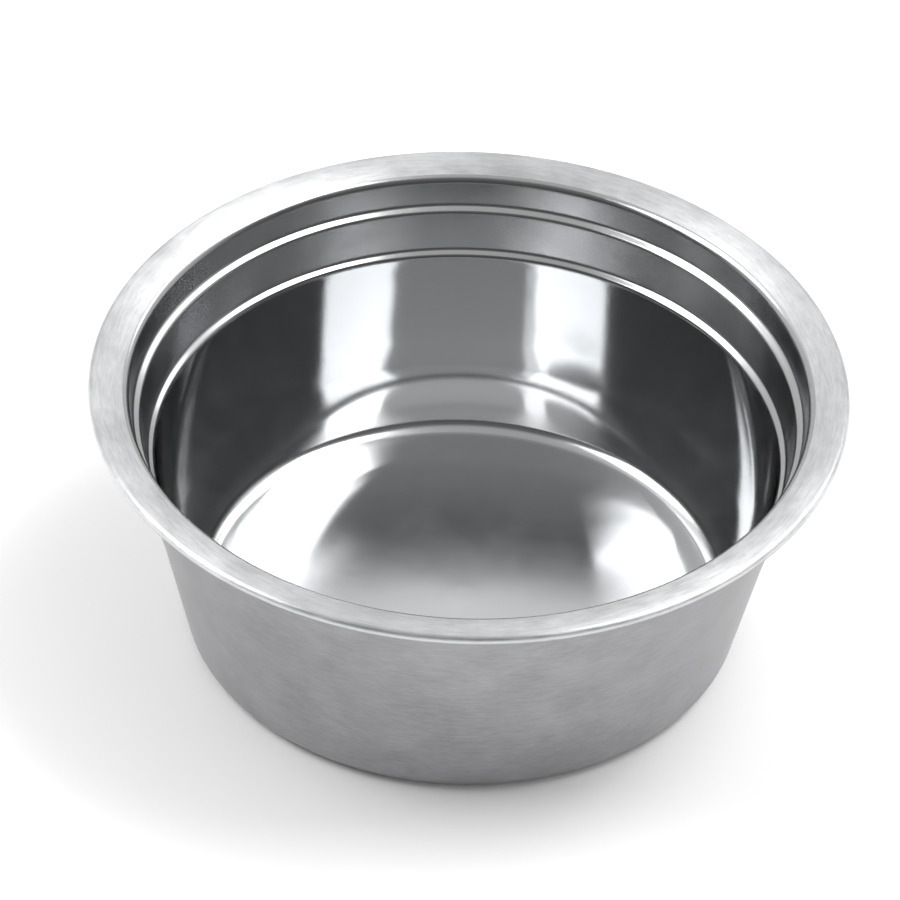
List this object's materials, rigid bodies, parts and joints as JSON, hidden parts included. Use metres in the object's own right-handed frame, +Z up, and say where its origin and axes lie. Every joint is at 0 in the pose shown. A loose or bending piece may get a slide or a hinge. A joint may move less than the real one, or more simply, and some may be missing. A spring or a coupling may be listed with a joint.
{
  "type": "shaving bowl",
  "caption": "Round double-walled steel shaving bowl with a rolled flange rim, a mirror-polished inside with ledges under the rim, and a satin outside on a flat base.",
  "frame": {"origin": "centre of the flat base, on the surface the bowl stands on", "axes": "+Z up along the bowl's axis of revolution, out of its mouth; +X and +Y are arbitrary, because the bowl is round"},
  "size_m": [0.12, 0.12, 0.046],
  "materials": {
    "polished_steel": "mirror-polished stainless steel, brushed satin on the rim",
    "satin_steel": "satin, finely brushed"
  },
  "bodies": {
    "root": {"inner_shell": "polished_steel", "outer_shell": "satin_steel"}
  },
  "joints": []
}
